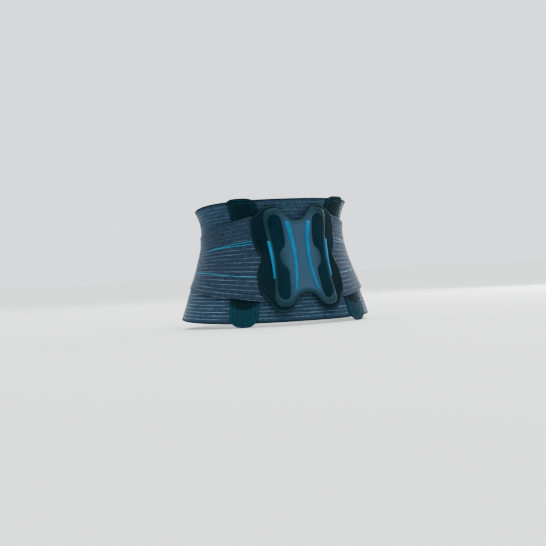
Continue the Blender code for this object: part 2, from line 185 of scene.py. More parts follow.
def look_up(table, columns, height, column):
    """A table's value between its lines: the four nearest values, each weighted by how near it is."""
    height, column = np.broadcast_arrays(np.asarray(height, float), np.asarray(column, float))
    row = np.clip((height - ARC_HEIGHTS[0]) / (ARC_HEIGHTS[1] - ARC_HEIGHTS[0]), 0, len(ARC_HEIGHTS) - 1.001)
    place = np.clip((column - columns[0]) / (columns[1] - columns[0]), 0, len(columns) - 1.001)
    i, j = row.astype(int), place.astype(int)
    a, b = row - i, place - j
    return (
        table[i, j] * (1 - a) * (1 - b) + table[i + 1, j] * a * (1 - b)
        + table[i, j + 1] * (1 - a) * b + table[i + 1, j + 1] * a * b
    )


def arc_at(angle, height):
    """The distance round the torso from the middle of the back to an angle, at a height."""
    return look_up(ARC_LENGTHS, ARC_ANGLES, height, angle)


def bent(across, up, offset, centre=0.0):
    """Points of a flat piece laid on the torso: `across` metres round from the line at the centre angle."""
    angle = look_up(ANGLE_TABLE, ARC_PLACES, up, arc_at(centre, up) + across)
    return on_torso(angle, up, offset)


print("waist circumference", round(float(arc_at(180, 0.0) - arc_at(-180, 0.0)), 3), "m")

# %% [markdown]
# ## Edges and layers
# The belt is highest at the back and narrows to the front, and each strap narrows faster. The layers are
# stacked outwards from the body with a hair's width between them, so each one has its own distance.

# %% Edges of the belt and the straps
TOP_AT_BACK, TOP_DROP = 0.065, 0.028
BOTTOM_AT_BACK, BOTTOM_RISE = -0.145, 0.019
STRAP_TOP = (32.0, 0.0366, -0.00042)
STRAP_BOTTOM = (27.0, -0.110, 0.00035)


def smooth(value, start, end):
    """0 before start, 1 after end, and an even S between them."""
    share = np.clip((np.asarray(value, float) - start) / (end - start), 0, 1)
    return share * share * (3 - 2 * share)


def front_share(angle):
    return ((1 - np.cos(np.radians(angle))) / 2) ** 1.5


def top_edge(angle):
    return TOP_AT_BACK - TOP_DROP * front_share(angle)


def bottom_edge(angle):
    return BOTTOM_AT_BACK + BOTTOM_RISE * front_share(angle)


def strap_top(angle):
    return STRAP_TOP[1] + STRAP_TOP[2] * np.maximum(np.abs(angle) - STRAP_TOP[0], 0)


def strap_bottom(angle):
    return STRAP_BOTTOM[1] + STRAP_BOTTOM[2] * np.maximum(np.abs(angle) - STRAP_BOTTOM[0], 0)


print("belt", TOP_AT_BACK - BOTTOM_AT_BACK, "m high at the back")

# %% Layers out from the torso
GAP = 0.3 * MM
KNIT, POCKET, STRAP, CARRIER, PAD = 2.5 * MM, 2.6 * MM, 1.8 * MM, 2.5 * MM, 3.3 * MM
LANDING, HOOK, TAB, GRIP = 0.8 * MM, 1.2 * MM, 2.0 * MM, 2.4 * MM
POCKET_LOW = KNIT + GAP
CARRIER_LOW = POCKET_LOW + POCKET + STRAP + 2 * GAP
PAD_LOW = CARRIER_LOW + CARRIER + GAP
CREASE_DEPTH, CREASE_SPACING = 0.35 * MM, 0.048


def body_wave(angle, height):
    """Soft creases where the belt bends with the body: a low sine up the flank, none at back or closure."""
    share = smooth(np.abs(angle), 64, 88) * (1 - smooth(np.abs(angle), 140, 152))
    sway = np.sin(np.radians(angle) * 3.0) * 0.8
    return CREASE_DEPTH * share * np.sin(2 * np.pi * np.asarray(height) / CREASE_SPACING + sway)


def over_pocket(angle, height):
    """A strap runs level over the stay pocket, then eases down to the belt before the flank."""
    return (POCKET + GAP) * (1 - smooth(np.abs(angle), 60, 92)) + body_wave(angle, height)


def over_right_end(angle, height):
    """The left end closes over the right one, so it rises by the layers between them."""
    return (KNIT + LANDING + HOOK + 3 * GAP) * smooth(np.abs(angle), 152, 161) + body_wave(angle, height)


def over_hook(angle, height):
    """A tab rises over the hook tape on its underside."""
    return (HOOK + GAP) * smooth(np.abs(angle), 124, 130) + body_wave(angle, height)


print("pad face", round((PAD_LOW + PAD) / MM, 1), "mm out from the torso")

# %% [markdown]
# ## Meshes from grids
# Each piece is a grid of points worked out at once. Two grids, one outside and one inside, share their rim
# and make a closed skin. Working out whole arrays is quick, and one function can give every mesh its cloth
# coordinates, which say how far a point lies along and across the fabric in metres.

# %% Put arrays into a mesh
def quads(index):
    """The four corners of each cell of an index grid, round the cell."""
    corners = (index[..., :-1, :-1], index[..., :-1, 1:], index[..., 1:, 1:], index[..., 1:, :-1])
    return np.stack(corners, -1).reshape(-1, 4)


def add_mesh(name, finish, points, faces, cloth=None, **marks):
    """A smooth closed mesh, faces out. Corners that coincide in a face are dropped, which closes its poles.

    The sign of the volume, the sum of each face's two corner triangles' triple products, tells which way
    the faces point. `cloth` holds a place on the cloth for each point, and each mark one number.
    """
    points = points.reshape(-1, 3)
    used, faces = np.unique(faces, return_inverse=True)
    faces = faces.reshape(-1, 4)
    points = points[used]
    a, b, c, d = (points[faces[:, k]] for k in range(4))
    volume = np.einsum("ij,ij->", a, np.cross(b, c)) + np.einsum("ij,ij->", a, np.cross(c, d))
    if volume < 0:
        faces = faces[:, ::-1]
    keep = faces != np.roll(faces, -1, axis=1)
    keep &= (keep.sum(1) >= 3)[:, None]
    sizes = keep.sum(1)
    sizes = sizes[sizes > 0]
    corners = faces[keep]
    mesh = bpy.data.meshes.new(name)
    mesh.vertices.add(len(points))
    mesh.vertices.foreach_set("co", points.astype(np.float32).ravel())
    mesh.loops.add(len(corners))
    mesh.loops.foreach_set("vertex_index", corners.astype(np.int32))
    mesh.polygons.add(len(sizes))
    mesh.polygons.foreach_set("loop_start", (np.cumsum(sizes) - sizes).astype(np.int32))
    if cloth is not None:
        layer = mesh.uv_layers.new(name="cloth")
        layer.uv.foreach_set("vector", cloth.reshape(-1, 2)[used][corners].astype(np.float32).ravel())
    for mark, values in marks.items():
        values = np.broadcast_to(values, cloth.shape[:-1]).ravel()[used]
        mesh.attributes.new(mark, "FLOAT", "POINT").data.foreach_set("value", values.astype(np.float32))
    mesh.update(calc_edges=True)
    mesh.validate()
    mesh.shade_smooth()
    mesh.materials.append(bpy.data.materials.get(finish) or bpy.data.materials.new(finish))
    piece = bpy.data.objects.new(name, mesh)
    bpy.context.collection.objects.link(piece)
    print(f"{name}: {int((sizes - 2).sum())} triangles")
    return piece


def add_skin(name, finish, outer, inner, cloth, around=False, **marks):
    """A closed skin from an outer and an inner grid of points that meet along the rim.

    With `around`, the first row is a pole, the last column is the first again, and the rim is the last row.
    """
    shape = outer.shape[:2]
    outside = np.arange(shape[0] * shape[1]).reshape(shape)
    if around:
        outside[:, -1] = outside[:, 0]
        outside[0] = outside[0, 0]
    inside = outside + outside.size
    rim = np.zeros(shape, bool)
    rim[-1] = True
    if not around:
        rim[0] = rim[:, 0] = rim[:, -1] = True
    inside[rim] = outside[rim]
    faces = np.concatenate([quads(outside), quads(inside)[:, ::-1]])
    points = np.stack([outer, inner])
    marks = {mark: np.stack([np.broadcast_to(v, shape)] * 2) for mark, v in marks.items()}
    return add_mesh(name, finish, points, faces, np.stack([cloth, cloth]), **marks)


# %% [markdown]
# A cloth needs a rounded rim, not a knife edge or a square one. Its thickness grows from the rim like the
# side of a circle, and the grid's lines are closer together there. Free ends get round corners, as a cutter
# makes them, because a square corner curls and catches.

# %% Grids for cloth
def rounded(distance, radius):
    """From 0 at a rim to 1 at the radius and beyond, like the side of a circle."""
    return np.sqrt(1 - (1 - np.clip(distance / radius, 0, 1)) ** 2)


def rim_spaced(length, step, radius):
    """Shares of a length: even steps, and near both ends the closer places that a rounded rim needs."""
    turns = radius * (1 - np.cos(np.radians([0, 30, 60, 90])))
    even = np.linspace(radius, length - radius, max(3, round((length - 2 * radius) / step) + 1))
    return np.concatenate([turns[:-1], even, length - turns[-2::-1]]) / length


def cloth_grid(angles, edges, steps, corner=0.0, radius=0.9 * MM):
    """Angles, heights, rim distances and shares up of a cloth between two angles and two edges.

    The edges draw in by a quarter circle near the second angle, so a free end has round corners.
    """
    start, end = angles
    length = abs(arc_at(end, 0.0) - arc_at(start, 0.0))
    middle = (start + end) / 2
    along = rim_spaced(length, steps[0], max(radius, corner * 0.999) if corner else radius)
    if corner:
        along = along[3:] if along[3] > 0 else along
        along = np.concatenate([np.linspace(0, along[0], 4, endpoint=False), along])
    angle = (start + (end - start) * along)[None, :]
    from_end = (1 - along)[None, :] * length
    draw_in = corner - np.sqrt(np.maximum(corner**2 - np.maximum(corner - from_end, 0) ** 2, 0))
    low, high = edges[0](angle) + draw_in, edges[1](angle) - draw_in
    tall = float(edges[1](middle) - edges[0](middle))
    share = rim_spaced(tall, steps[1], radius)[:, None]
    height = low + (high - low) * share
    whole_share = (height - edges[0](angle)) / (edges[1](angle) - edges[0](angle))
    rim = np.minimum(np.minimum(height - low, high - height), from_end + 0 * height)
    rim = np.minimum(rim, along[None, :] * length + 0 * height)
    return angle + 0 * height, height, np.maximum(rim, 0), whole_share


def add_cloth(name, finish, grid, side, layer, lift, relief=0.0, lines=1, radius=0.9 * MM):
    """A closed cloth on the torso from layer[0] to layer[1], with relief outside and a rounded rim."""
    angle, height, rim, share = grid
    angle = angle * side
    middle = (layer[0] + layer[1]) / 2 + lift(angle, height)
    half = (layer[1] - layer[0]) / 2 * rounded(rim, radius)
    soft = rounded(rim, 2 * radius)
    outer = on_torso(angle, height, middle + half + relief * soft)
    inner = on_torso(angle, height, middle - half)
    cloth = np.stack([arc_at(angle, height), height], -1)
    return add_skin(name, finish, outer, inner, cloth, course=share * lines, rim=rim / MM)


print("helpers for cloth are ready")

# %% [markdown]
# ## The knitted belt
# The belt is a thick elastic knit with a heavier weft thread every few millimetres. Those threads pull the
# surface into low ribs that run round the waist and close up where the belt narrows. A simulation would
# only find the body's shape again, so the cloth is laid on the torso form directly, rib by rib. It is cut in
# three panels, and their seams lie behind the stay pockets.

# %% Knit the three panels
BELT_LINES = 34
SEAM_ANGLE = 39.0
BELT_ENDS = {"left": (-1, 205.0, over_right_end), "right": (1, 196.0, body_wave)}
BINDING_HALF = 1.6 * MM
END_CORNER = 14 * MM


def ribs(share, lines, depth):
    """Low round ribs between the weft threads: a cosine for each line."""
    return depth * (0.5 - 0.5 * np.cos(2 * np.pi * share * lines)) - depth


def belt_low(angle):
    return bottom_edge(angle) + BINDING_HALF


def belt_high(angle):
    return top_edge(angle) - BINDING_HALF


def add_panel(name, angles, side, lift, corner):
    """A panel of the belt: its ribs follow both edges, and its inner face is smooth."""
    grid = cloth_grid(angles, (belt_low, belt_high), (3.2 * MM, 1.0 * MM), corner)
    relief = ribs(grid[3], BELT_LINES, 0.22 * MM)
    return add_cloth(name, "ribbed polyamide knit", grid, side, (0, KNIT), lift, relief, BELT_LINES), grid


back_cloth, back_grid = add_panel("back_belt", (-SEAM_ANGLE, SEAM_ANGLE), 1, body_wave, 0)
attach(back_cloth, "back")
for name, (side, end, lift) in BELT_ENDS.items():
    panel, grid = add_panel(name + "_belt", (SEAM_ANGLE, end), side, lift, END_CORNER)
    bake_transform(panel)
    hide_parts(name + "_front_panel")
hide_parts("back_panel")

# %% [markdown]
# ## The bound edges
# The belt's edges are finished with a narrow dark binding that is folded over and sewn. It is a rounded
# profile carried along the edge, and at each free end it turns two round corners and runs down the end. A
# sweep keeps its width even on the curve, which a bevelled curve on a bent surface wouldn't.

# %% Carry a profile along a path on the torso
def metres_per_degree(angle, height):
    return (arc_at(angle + 0.5, height) - arc_at(angle - 0.5, height))


def ring_profile(wide, deep, count=12, power=0.7):
    """A closed rounded profile: cosine and sine, squared up a little by a power below 1."""
    turn = np.linspace(0, 2 * np.pi, count + 1)
    cosine, sine = np.cos(turn), np.sin(turn)
    squared = [np.sign(v) * np.abs(v) ** power for v in (cosine, sine)]
    return np.stack([squared[0] * wide, squared[1] * deep], -1)


def add_sweep(name, finish, angle, height, offset, profile, tip=1.5 * MM):
    """A profile carried along a path on the torso and closed at both ends.

    At each path point the profile's first number moves in the cloth's plane, square to the path, and its
    second moves out. The profile shrinks like the side of a circle towards each end.
    """
    scale = metres_per_degree(angle, height)
    along, up = np.gradient(angle) * scale, np.gradient(height)
    long = np.hypot(along, up)
    travelled = np.cumsum(long) - long[0]
    size = rounded(np.minimum(travelled, travelled[-1] - travelled) + 1e-7, tip)[:, None]
    aside_angle, aside_up = -up / long / scale, along / long
    ring_angle = angle[:, None] + aside_angle[:, None] * profile[None, :, 0] * size
    ring_height = height[:, None] + aside_up[:, None] * profile[None, :, 0] * size
    points = on_torso(ring_angle, ring_height, offset[:, None] + profile[None, :, 1] * size)
    index = np.arange(points.shape[0] * points.shape[1]).reshape(points.shape[:2])
    index[:, -1] = index[:, 0]
    index[0] = index[0, 0]
    index[-1] = index[-1, 0]
    girth = np.linalg.norm(np.diff(profile, axis=0), axis=1).sum()
    around = np.linspace(0, 1, profile.shape[0])[None, :] * girth
    cloth = np.stack([travelled[:, None] + 0 * around, around + 0 * ring_angle], -1)
    return add_mesh(name, finish, points, quads(index), cloth)


# %% Bind the edges
EDGE_STEPS, END_STEPS, MIDDLE_HEIGHT = 150, 70, -0.04


def end_path(end, inset, corner):
    """Along the top edge to the end, round a corner, down the end, round the other corner and back."""
    scale = metres_per_degree(end, MIDDLE_HEIGHT)
    turn = np.radians(np.linspace(0, 90, 9))[1:-1]
    last = end - inset / scale
    run = np.linspace(SEAM_ANGLE, last - corner / scale, EDGE_STEPS)
    near, far = 1 - np.sin(turn), 1 - np.cos(turn)
    high, low = top_edge(last) - inset, bottom_edge(last) + inset
    down = np.linspace(high - corner, low + corner, END_STEPS)
    angle = np.concatenate([
        run, last - corner / scale * near, np.full(END_STEPS, last), last - corner / scale * far, run[::-1],
    ])
    height = np.concatenate([
        top_edge(run) - inset, high - corner * far, down, low + corner * near, bottom_edge(run)[::-1] + inset,
    ])
    return angle, height


BINDING = ring_profile(BINDING_HALF, KNIT / 2 + 0.25 * MM)
for name, (side, end, lift) in BELT_ENDS.items():
    angle, height = end_path(end, BINDING_HALF, END_CORNER)
    middle = KNIT / 2 + lift(angle * side, height)
    binding = add_sweep(name + "_binding", "folded binding tape", angle * side, height, middle, BINDING)
    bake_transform(binding)
    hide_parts(name + "_front_top_edging", name + "_front_bottom_edging")
for place, edge, sign in (("top", top_edge, -1), ("bottom", bottom_edge, 1)):
    angle = np.linspace(-SEAM_ANGLE - 0.3, SEAM_ANGLE + 0.3, 90)
    middle = np.full(len(angle), KNIT / 2)
    binding = add_sweep(f"back_{place}_binding", "folded binding tape", angle,
                        edge(angle) + sign * BINDING_HALF, middle, BINDING)
    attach(binding, "back")
    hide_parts(f"back_{place}_edging")

# %% [markdown]
# ## The tension straps
# Each strap starts under the pad's carrier, runs over the stay pocket and narrows towards the front. Its weft
# threads fan with its edges, so they close up as it narrows. Two bright threads mark the pulling lines. The
# front end is a tab of its own cloth that peels away from the belt.

# %% Lay the straps and their tabs
STRAP_LINES = 18
STRAP_ANGLES, TAB_ANGLES = (20.0, 118.0), (118.25, 150.0)
STRAP_STEPS, TAB_STEPS = (2.8 * MM, 1.15 * MM), (2.2 * MM, 1.1 * MM)
STRAP_RIB, TAB_CORNER = 0.2 * MM, 16 * MM
TAB_FOLD, TAB_MIDDLE = (119.0, 126.5), -0.035
STRAP_LAYER, TAB_LAYER = (POCKET_LOW, POCKET_LOW + STRAP), (POCKET_LOW, POCKET_LOW + TAB)


def selvedge(rim):
    """A firm knitted edge: a low round bead just inside the rim."""
    return 0.28 * MM * np.exp(-((rim - 1.8 * MM) / (1.1 * MM)) ** 2)


def add_strap(name, side, angles, steps, corner, layer, lift):
    """A stretch of strap cloth, with low ribs between its weft threads and a firm edge."""
    grid = cloth_grid(angles, (strap_bottom, strap_top), steps, corner)
    relief = ribs(grid[3], STRAP_LINES, STRAP_RIB) + selvedge(grid[2])
    return add_cloth(name, "heathered strap knit", grid, side, layer, lift, relief, STRAP_LINES), grid


for name, (side, _, _) in BELT_ENDS.items():
    strap, grid = add_strap(name + "_strap", side, STRAP_ANGLES, STRAP_STEPS, 0, STRAP_LAYER, over_pocket)
    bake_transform(strap)
    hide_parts(name + "_rear_strap", name + "_front_strap")
    tab, grid = add_strap(name + "_pull_tab", side, TAB_ANGLES, TAB_STEPS, TAB_CORNER, TAB_LAYER, over_hook)
    fold = [tuple(on_torso(side * a, TAB_MIDDLE, TAB_LAYER[1])) for a in TAB_FOLD]
    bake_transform(tab)
    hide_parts(name + "_tab")

# %% [markdown]
# A narrow tape is sewn over the seam between a strap and its tab. It hides the two raw edges and gives the
# fingers a ridge, and it rides the wing, because the tab folds just beyond it.

# %% Tape the seams
SEAM_TAPE = ring_profile(2.2 * MM, 0.45 * MM)
TAPE_STEPS, TAPE_INSET, TAPE_RISE = 60, 1 * MM, 0.2 * MM
for name, (side, _, _) in BELT_ENDS.items():
    angle = np.full(TAPE_STEPS, side * (STRAP_ANGLES[1] + TAB_ANGLES[0]) / 2)
    height = np.linspace(strap_bottom(angle[0]) + TAPE_INSET, strap_top(angle[0]) - TAPE_INSET, TAPE_STEPS)
    offset = STRAP_LAYER[1] + over_pocket(angle, height) + TAPE_RISE
    tape = add_sweep(name + "_seam_tape", "folded binding tape", angle, height, offset, SEAM_TAPE, tip=2 * MM)
    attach(tape, name + "_wing")

# %% [markdown]
# ## Outlines of the pad
# The lumbar pad is four lobes round a narrow middle. Its outlines are smooth curves through a few points,
# and a piece's height is worked out from how far each of its points lies inside an outline. That is a
# signed distance, and it gives soft rims, beads and recesses that follow any shape evenly.

# %% Outline points, in millimetres across and up
CARRIER_HALF = (
    (0, 27), (9, 29.5), (18, 36.5), (28, 47.5), (40, 52.5), (50, 51), (60, 46), (72, 36), (76.5, 24),
    (76.5, 5), (75, -12), (72, -25), (66.5, -38), (72.5, -51), (77.5, -67), (79, -85), (77, -98),
    (69, -110), (62, -122), (54, -129.5), (43, -131.5), (32, -127), (22.5, -117), (14.5, -105.5),
    (6, -101), (0, -100),
)
PAD_HALF = (
    (0, 25.3), (9, 27), (15, 32.2), (20.5, 39), (28, 46.3), (37.5, 48.8), (47, 47.5), (54, 43.5),
    (57, 35.5), (56, 20), (53.5, 0), (52, -30), (51.5, -55), (52.5, -78), (55, -96), (56.8, -110),
    (52, -119), (42, -122), (31, -120.3), (23.5, -114.5), (16, -105), (8, -100.5), (0, -99.3),
)
TROUGH_HALF = (
    (40, 37), (47, 34), (49.8, 24), (49, 8), (46.3, -8), (44.5, -25), (43.8, -40), (44.8, -58),
    (46.3, -76), (49.3, -92), (48.5, -103), (44, -109), (38, -110.5), (32.5, -107), (29, -95),
    (27, -78), (26, -65), (28, -57.5), (33, -52), (36.3, -46), (37, -39), (35.5, -31), (31.5, -25),
    (27, -20), (25.4, -11), (25.3, 0), (26.3, 14), (28.5, 28), (33, 35),
)


def through(points, steps):
    """A smooth closed line through the points: a Catmull-Rom spline with `steps` spans between two points."""
    points = np.array(points, float)
    a, b, c, d = (np.roll(points, shift, axis=0)[:, None, :] for shift in (1, 0, -1, -2))
    t = (np.arange(steps) / steps)[None, :, None]
    line = 2 * b + (c - a) * t + (2 * a - 5 * b + 4 * c - d) * t**2 + (3 * b - a - 3 * c + d) * t**3
    return 0.5 * line.reshape(-1, 2)


def both_sides(half, steps=8):
    """The full outline of a symmetric piece from its half outline."""
    mirrored = [(-x, y) for x, y in reversed(half[1:-1])]
    return through([*half, *mirrored], steps) * MM


def evenly(outline, count):
    """The closed outline again with evenly spaced points."""
    closed = np.concatenate([outline, outline[:1]])
    travelled = np.concatenate([[0], np.cumsum(np.linalg.norm(np.diff(closed, axis=0), axis=1))])
    places = np.linspace(0, travelled[-1], count, endpoint=False)
    return np.stack([np.interp(places, travelled, closed[:, k]) for k in (0, 1)], -1)


def inside_by(outline, across, up):
    """How far points lie inside a closed outline, negative outside: the least distance to its segments.

    The sign comes from how many segments a line towards +across crosses, odd inside and even outside.
    """
    shape = np.shape(across)
    point = np.stack([np.ravel(across), np.ravel(up)], -1).astype(np.float32)[:, None, :]
    first = outline.astype(np.float32)[None, :, :]
    step = np.roll(outline, -1, axis=0).astype(np.float32)[None, :, :] - first
    gone = point - first
    share = np.clip((gone * step).sum(-1) / (step**2).sum(-1), 0, 1)
    away = np.hypot(gone[..., 0] - share * step[..., 0], gone[..., 1] - share * step[..., 1]).min(1)
    spans = (gone[..., 1] < 0) != (gone[..., 1] < step[..., 1])
    rise = np.where(step[..., 1] == 0, 1, step[..., 1])
    right = gone[..., 0] < step[..., 0] * gone[..., 1] / rise
    inside = (spans & right).sum(1) % 2 == 1
    return np.where(inside, away, -away).reshape(shape)


CARRIER_OUTLINE = evenly(both_sides(CARRIER_HALF), 420)
PAD_OUTLINE = evenly(both_sides(PAD_HALF), 420)
TROUGH_OUTLINE = evenly(through(TROUGH_HALF, 8) * MM, 120)
pad_size, carrier_size = (np.round(np.ptp(line, axis=0) / MM) for line in (PAD_OUTLINE, CARRIER_OUTLINE))
print("pad", pad_size, "mm, carrier", carrier_size, "mm")

# %% [markdown]
# ## The carrier and the pad
# The carrier is a thin dark moulding with a bead round its rim, and the pad is soft foam moulded onto it. A
# grid of rings fits such lobed shapes: each ring is the outline drawn in towards the middle, so the rim is
# clean and the beads follow it. The rings are closer near the rim. The pad's face dips into a trough in each
# column, with a round bump that narrows it at mid height.

# %% Shape the carrier and the pad
PAD_MIDDLE = np.array([0.0, -0.038])
TROUGH_DEPTH = 1.9 * MM
rim_shares = 1 - 0.05 * np.cos(np.linspace(0, np.pi / 2, 12)) ** 1.5
RING_SHARES = np.concatenate([np.linspace(0, 0.94, 78), rim_shares])


def pad_height(across, up):
    """How far the pad's face stands above its back: a rounded rim, a hollow web and a sunk trough."""
    edge = inside_by(PAD_OUTLINE, across, up)
    rise = 0.38 * rounded(edge, 1.4 * MM) + 0.62 * smooth(edge, 0, 6.5 * MM)
    sunk = smooth(inside_by(TROUGH_OUTLINE, np.abs(across), up), -3.0 * MM, 0.3 * MM)
    web = np.exp(-((across / (9 * MM)) ** 2)) * smooth(edge, 4 * MM, 16 * MM)
    return PAD * rise - TROUGH_DEPTH * sunk - 0.7 * MM * web


def carrier_height(across, up):
    """A low sheet with a round bead along its rim and a fine groove inside the bead."""
    edge = inside_by(CARRIER_OUTLINE, across, up)
    bead = np.exp(-((edge - 1.5 * MM) / (1.0 * MM)) ** 2)
    groove = np.exp(-((edge - 4.0 * MM) / (0.9 * MM)) ** 2)
    return CARRIER * 0.74 * rounded(edge, 1.4 * MM) + 0.6 * MM * bead - 0.45 * MM * groove


def add_lobed(name, finish, outline, low, height_of, **marks):
    """A lobed moulding: rings of its outline drawn in to the middle, flat behind and shaped in front."""
    closed = np.concatenate([outline, outline[:1]])
    flat = PAD_MIDDLE + RING_SHARES[:, None, None] * (closed - PAD_MIDDLE)[None, :, :]
    across, up = flat[..., 0], flat[..., 1]
    height = height_of(across, up)
    height[-1] = 0
    marks = {mark: value(across, up) for mark, value in marks.items()}
    outer, inner = bent(across, up, low + height), bent(across, up, low)
    return add_skin(name, finish, outer, inner, flat, around=True, **marks)


def web_light_share(across, up):
    """1 on the smooth web between the columns and 0 on the pad's rim: there the pad's colour is lightened as
    painted light.
    """
    edge = inside_by(PAD_OUTLINE, across, up)
    return (1 - smooth(np.abs(across), 16 * MM, 40 * MM)) * smooth(edge, 1 * MM, 9 * MM)


carrier = add_lobed("carrier", "moulded carrier", CARRIER_OUTLINE, CARRIER_LOW, carrier_height)
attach(carrier, "back")
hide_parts("pad_carrier")
# The pad's smooth web gets a lighter colour than its rim: painted light, for the light the web catches.
pad = add_lobed("lumbar_pad", "moulded pad foam", PAD_OUTLINE, PAD_LOW, pad_height, web=web_light_share)
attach(pad, "back")
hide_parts("pad_body")

# %% [markdown]
# ## Troughs and ribs
# A dark soft rubber lines each trough, and four bright silicone ribs grip the belt wearer's clothes. A trough
# lining is a leaf: rows across it from one side of its outline to the other, closer near its two ends. A rib
# is a half round carried down a bowed line, wider at the top than at the bottom.

# %% Line the troughs
def eased(count):
    """Shares from 0 to 1, close together at both ends: half of one less a cosine."""
    return (1 - np.cos(np.linspace(0, np.pi, count))) / 2


def leaf_rows(outline, rows, columns):
    """Across and up of a leaf grid: rows between an outline's two sides, close together at its ends."""
    top, bottom = np.argmax(outline[:, 1]), np.argmin(outline[:, 1])
    turned = np.roll(outline, -top, axis=0)
    count = (bottom - top) % len(outline)
    down, back_up = turned[:count + 1], np.concatenate([turned[count:], turned[:1]])
    up = outline[bottom, 1] + (outline[top, 1] - outline[bottom, 1]) * eased(rows)
    first = np.interp(up, down[::-1, 1], down[::-1, 0])
    second = np.interp(up, back_up[:, 1], back_up[:, 0])
    share = eased(columns)[None, :]
    across = second[:, None] + (first - second)[:, None] * share
    return across, up[:, None] + 0 * across


def add_trough(name, side):
    across, up = leaf_rows(TROUGH_OUTLINE, 110, 26)
    edge = np.maximum(inside_by(TROUGH_OUTLINE, across, up), 0)
    floor = PAD_LOW + PAD - TROUGH_DEPTH + 0.06 * MM
    domed = 0.55 * MM * rounded(edge, 1.1 * MM) + 0.35 * MM * smooth(edge, 1 * MM, 8 * MM)
    domed[[0, -1]] = domed[:, [0, -1]] = 0
    outer, inner = bent(side * across, up, floor + domed), bent(side * across, up, floor)
    lining = add_skin(name + "_trough_lining", "soft trough rubber", outer, inner, np.stack([across, up], -1))
    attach(lining, "back")
    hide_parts(name + "_trough")


for name, (side, _, _) in BELT_ENDS.items():
    add_trough(name, side)

# %% Cast the ribs
RIBS = {
    "inner": {"top": 24 * MM, "bottom": -95 * MM, "ends": 19.5 * MM, "middle": 12.3 * MM,
              "widths": (8 * MM, 4 * MM)},
    "outer": {"top": -9 * MM, "bottom": -75 * MM, "ends": 51.5 * MM, "middle": 49.8 * MM,
              "widths": (6 * MM, 3.5 * MM)},
}
RIB_HEIGHT = 1.9 * MM


def add_rib(name, side, rib):
    """A bowed half round: its middle is a parabola, nearest the spine half way down. Its ends are domes."""
    along = eased(90)[:, None]
    turn = np.linspace(0, np.pi, 15)[None, :]
    middle = rib["middle"] + (rib["ends"] - rib["middle"]) * (2 * along - 1) ** 2
    length = rib["top"] - rib["bottom"]
    half = (rib["widths"][0] + (rib["widths"][1] - rib["widths"][0]) * along) / 2
    end = rounded(np.minimum(along, 1 - along) * length, half)
    across = middle - half * end * np.cos(turn)
    up = rib["top"] - length * along + 0 * across
    base = PAD_LOW + pad_height(middle + 0 * across, up) - 0.15 * MM
    outer = bent(side * across, up, base + RIB_HEIGHT * end * np.sin(turn) ** 0.85)
    inner = bent(side * across, up, base)
    piece = add_skin(name + "_rib_cast", "cast silicone", outer, inner, np.stack([across, up], -1))
    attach(piece, "back")
    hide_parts(name + "_rib")


for name, (side, _, _) in BELT_ENDS.items():
    for place, rib in RIBS.items():
        add_rib(f"{name}_{place}", side, rib)

# %% [markdown]
# ## The stay pockets
# Each pocket is a strip of firm woven cloth over a sprung stay. It is round at the top and deeply round at
# the bottom, where a turned-up piece closes it, and both are sewn with two rows of thread. Its face rises
# over the stay like a low tent and sinks along the stitches.

# %% Sew the pockets
POCKET_HALF = 24 * MM
POCKET_TOP, POCKET_BOTTOM = 0.068, -0.151
POCKET_ROUNDS = (9 * MM, 18 * MM)
POCKET_FOLD = -0.1125
FOLD_DIP = 9 * MM
POCKET_ROWS = (3 * MM, 8 * MM)
POCKET_FACE, TENT, STITCH_DIP, FLAP_LIP = 1.85 * MM, 0.4 * MM, 0.28 * MM, 0.3 * MM
POCKET_CLOTH = 0.8 * MM


def pocket_half_at(up):
    """Half the pocket's width at a height: full, and closing at each end like a squared-up circle."""
    from_top = np.clip((POCKET_TOP - up) / POCKET_ROUNDS[0], 0, 1)
    from_bottom = np.clip((up - POCKET_BOTTOM) / POCKET_ROUNDS[1], 0, 1)
    top = (1 - (1 - from_top) ** 2) ** 0.3
    bottom = (1 - (1 - from_bottom) ** 2) ** 0.4
    return POCKET_HALF * top * bottom


pocket_rows = np.concatenate([
    POCKET_BOTTOM + POCKET_ROUNDS[1] * (1 - np.cos(np.linspace(0, np.pi / 2, 22)))[:-1],
    np.linspace(POCKET_BOTTOM + POCKET_ROUNDS[1], POCKET_TOP - POCKET_ROUNDS[0], 150),
    (POCKET_TOP - POCKET_ROUNDS[0] * (1 - np.cos(np.linspace(0, np.pi / 2, 18))))[-2::-1],
])
pocket_side = np.stack([pocket_half_at(pocket_rows), pocket_rows], -1)
POCKET_OUTLINE = evenly(np.concatenate([pocket_side[:-1], (pocket_side * (-1, 1))[:0:-1]]), 300)


def below_fold(across, up):
    """How far a point lies below the upper edge of the turned-up piece, which dips in its middle."""
    return POCKET_FOLD - FOLD_DIP * (1 - (across / POCKET_HALF) ** 2) - up


def pocket_height(across, up):
    """The pocket's face above the belt: a level face and a low tent over the stay, less a groove along each
    row of stitches, and raised by the turned-up piece."""
    edge = inside_by(POCKET_OUTLINE, across, up)
    tent = smooth(edge, 7.5 * MM, 13 * MM)
    sewn = sum(np.exp(-((edge - row) / (0.6 * MM)) ** 2) for row in POCKET_ROWS)
    lip = FLAP_LIP * smooth(below_fold(across, up), 0, 1.2 * MM)
    return POCKET_FACE * rounded(edge, 0.9 * MM) + TENT * tent - STITCH_DIP * sewn * (edge > 1 * MM) + lip


